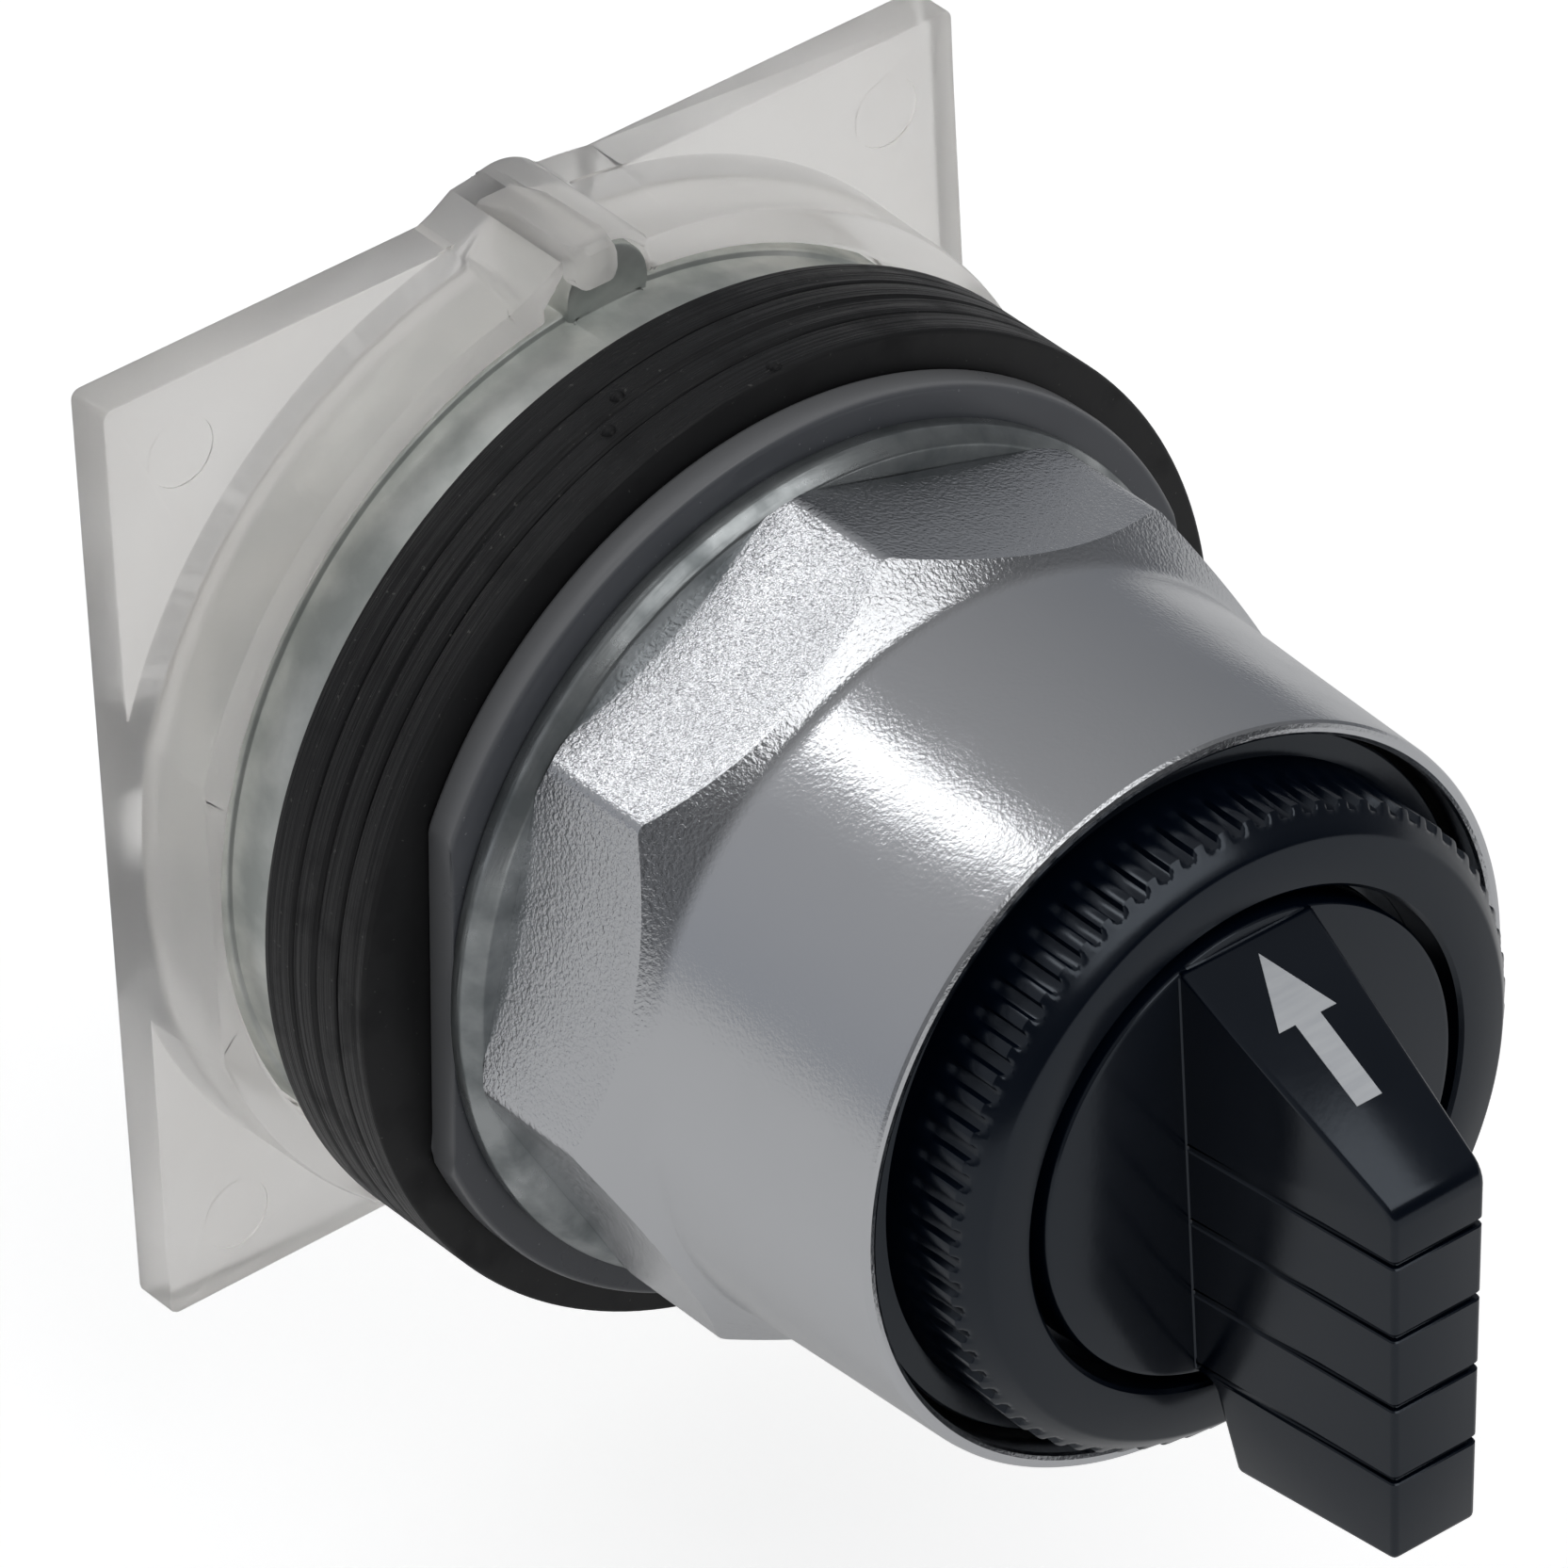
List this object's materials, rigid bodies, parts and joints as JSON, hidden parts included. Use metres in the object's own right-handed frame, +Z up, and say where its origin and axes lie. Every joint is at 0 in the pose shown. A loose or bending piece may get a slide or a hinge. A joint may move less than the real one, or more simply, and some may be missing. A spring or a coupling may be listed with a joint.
{
  "type": "rotary selector switch",
  "caption": "Panel-mounted selector switch with a black pointer knob, a chrome ring nut, rubber gaskets and a clear square backing plate; the knob turns a cam that moves push rods.",
  "frame": {"origin": "on the switch's axis, at the plane where the panel is clamped: the front of the gaskets and the back of the gray washer", "axes": "-Y along the axis towards the knob and the operator, +Y to the rear, +X to the operator's right, +Z up"},
  "size_m": [0.0438, 0.0566, 0.047],
  "materials": {
    "clear_plastic": "smooth, lightly frosted translucent plastic with a faint warm tint",
    "zinc_casting": "die-cast zinc with a dull gray-green passivated surface",
    "zinc_washer": "dull zinc, lightly brushed",
    "rubber": "black molded rubber, satin",
    "gray_plastic": "smooth gray plastic with a soft gloss",
    "chrome_plate": "bright chrome over a finely rippled casting",
    "black_plastic": "black molded plastic with a fine satin texture",
    "white_plastic": "white inlay, smooth",
    "cam_plastic": "natural acetal, satin",
    "steel": "plated steel",
    "spring_steel": "bare spring steel"
  },
  "bodies": {
    "base": {"backing_plate": "clear_plastic", "body_casting": "zinc_casting", "gasket_rear": "rubber", "gasket_middle": "rubber", "gasket_front": "rubber", "trim_washer": "gray_plastic", "clamp_washer": "zinc_washer", "ring_nut": "chrome_plate", "bezel": "black_plastic", "knob_seal": "rubber", "detent_spring_top": "spring_steel", "detent_spring_bottom": "spring_steel", "plunger_spring_left": "spring_steel", "plunger_spring_right": "spring_steel", "cam_cover": "cam_plastic", "plate_screw_top": "steel", "plate_screw_bottom": "steel"},
    "turning": {"knob": "black_plastic", "knob_arrow": "white_plastic", "spindle": "steel", "spindle_seal": "rubber", "cam": "cam_plastic", "cam_screw": "steel"},
    "rod_left": {"plunger_left": "cam_plastic"},
    "rod_right": {"plunger_right": "cam_plastic"}
  },
  "joints": [
    {"name": "knob_turn", "type": "hinge", "parent": "base", "child": "turning", "pos_m": [0, 0, 0], "axis": [0, -1, 0], "range_deg": [-45, 45], "deforming": ["detent_spring_top", "detent_spring_bottom"]},
    {"name": "plunger_left_slide", "type": "slide", "parent": "base", "child": "rod_left", "axis": [0, 1, 0], "range_m": [-0.00155, 0.00155], "deforming": ["plunger_spring_left"]},
    {"name": "plunger_right_slide", "type": "slide", "parent": "base", "child": "rod_right", "axis": [0, 1, 0], "range_m": [-0.00155, 0.00155], "deforming": ["plunger_spring_right"]}
  ],
  "couplings": [
    {"joint": "plunger_left_slide", "follows": "knob_turn", "m_per_rad": 0.0019099},
    {"joint": "plunger_right_slide", "follows": "knob_turn", "m_per_rad": -0.0019099}
  ]
}
